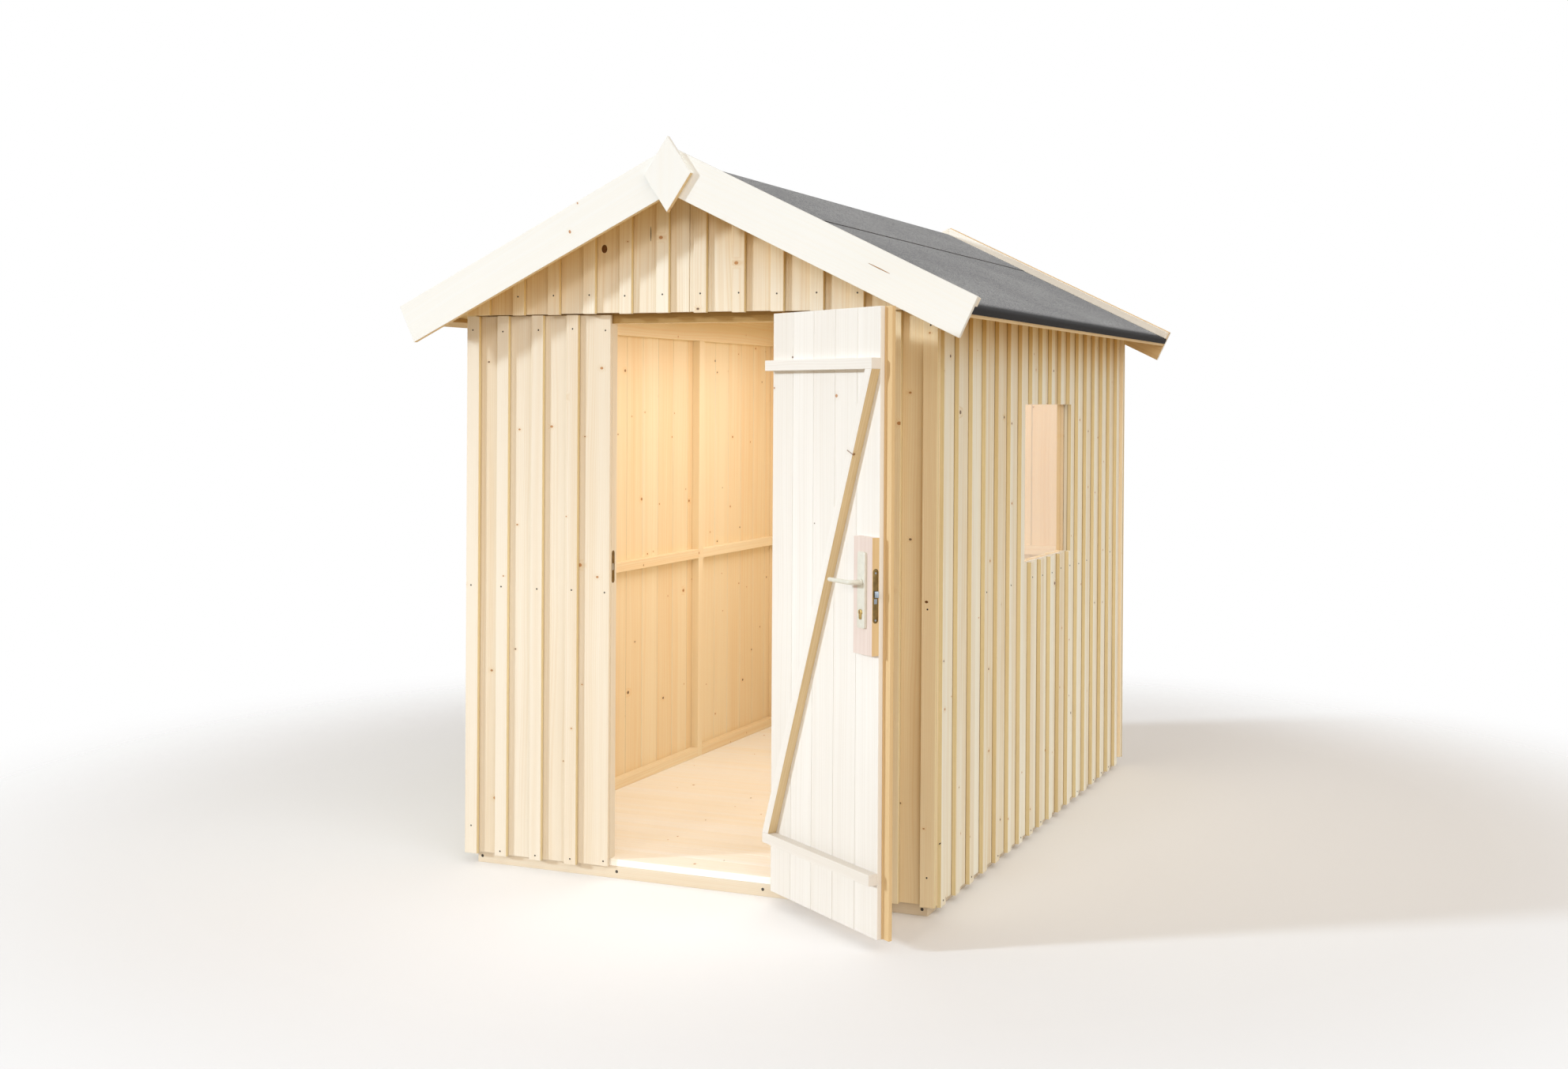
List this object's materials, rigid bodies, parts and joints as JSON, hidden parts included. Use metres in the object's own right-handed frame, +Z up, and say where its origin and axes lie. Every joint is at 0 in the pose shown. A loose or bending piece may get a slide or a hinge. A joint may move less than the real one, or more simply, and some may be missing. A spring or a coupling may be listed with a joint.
{
  "type": "garden shed",
  "caption": "Wooden garden shed of board-and-batten panels with a felted gable roof, an outward-opening ledged and braced door with a lever latch, and a fixed side window.",
  "frame": {"origin": "on the ground under the middle of the floor, on the underside of the middle floor beam", "axes": "+X to the right seen from the front, +Y from the front to the back, +Z up; the door end faces -Y"},
  "size_m": [2.1176, 3.1644, 2.509],
  "materials": {
    "wall_board": "planed softwood, unpainted",
    "door_board": "planed softwood, unpainted",
    "trim_board": "planed softwood, unpainted",
    "frame_timber": "planed softwood, unpainted",
    "floor_board": "planed softwood boards",
    "roof_felt": "mineral-surfaced bitumen felt, matt",
    "steel": "zinc-plated steel",
    "lock_bronze": "bronze-coloured steel, satin",
    "handle_enamel": "ivory enamel, half gloss",
    "window_glass": "clear pane"
  },
  "bodies": {
    "shed": {"floor_frame": "frame_timber", "floor_deck": "floor_board", "front_panel_left": "wall_board", "front_panel_right": "wall_board", "front_gable": "wall_board", "front_studs": "frame_timber", "front_rails": "frame_timber", "strike_plate": "lock_bronze", "left_panel_front": "wall_board", "left_panel_middle": "wall_board", "left_panel_back": "wall_board", "left_studs": "frame_timber", "left_rails": "frame_timber", "right_panel_front": "wall_board", "right_panel_middle": "wall_board", "right_panel_back": "wall_board", "right_studs": "frame_timber", "right_rails": "frame_timber", "window_pane": "window_glass", "window_stops": "frame_timber", "back_panel_left": "wall_board", "back_panel_right": "wall_board", "back_gable": "wall_board", "back_studs": "frame_timber", "back_rails": "frame_timber", "gable_rafters": "frame_timber", "ridge_beam": "frame_timber", "roof_boards_left": "frame_timber", "roof_boards_right": "frame_timber", "eave_battens": "frame_timber", "felt_left": "roof_felt", "felt_right": "roof_felt", "felt_ridge": "roof_felt", "verge_battens": "trim_board", "barge_boards_front": "trim_board", "barge_boards_back": "trim_board", "peak_cover": "trim_board", "hinge_pins": "steel"},
    "door": {"door_leaf": "door_board", "door_cover_strip": "door_board", "door_ledges": "door_board", "door_brace": "door_board", "lock_block": "door_board", "lock_edge_plate": "lock_bronze", "handle_plates": "handle_enamel", "key_cylinder": "steel", "hinge_leaves": "steel"},
    "lever": {"door_lever": "handle_enamel"},
    "latch": {"latch_bolt": "steel"}
  },
  "joints": [
    {"name": "door_hinge", "type": "hinge", "parent": "shed", "child": "door", "pos_m": [0.3265, -1.2945, 0.9], "axis": [0, 0, 1], "range_deg": [-145, 25]},
    {"name": "lever_turn", "type": "hinge", "parent": "door", "child": "lever", "pos_m": [0.78137, -1.65695, 1.105], "axis": [-0.5736, -0.8192, 0], "range_deg": [0, 40], "stiffness_Nm_per_rad": 2.5, "springref_deg": -14.32},
    {"name": "latch_slide", "type": "slide", "parent": "door", "child": "latch", "axis": [-0.8192, 0.5736, 0], "range_m": [0, 0.01]}
  ],
  "couplings": [
    {"joint": "latch_slide", "follows": "lever_turn", "m_per_rad": 0.0143}
  ]
}
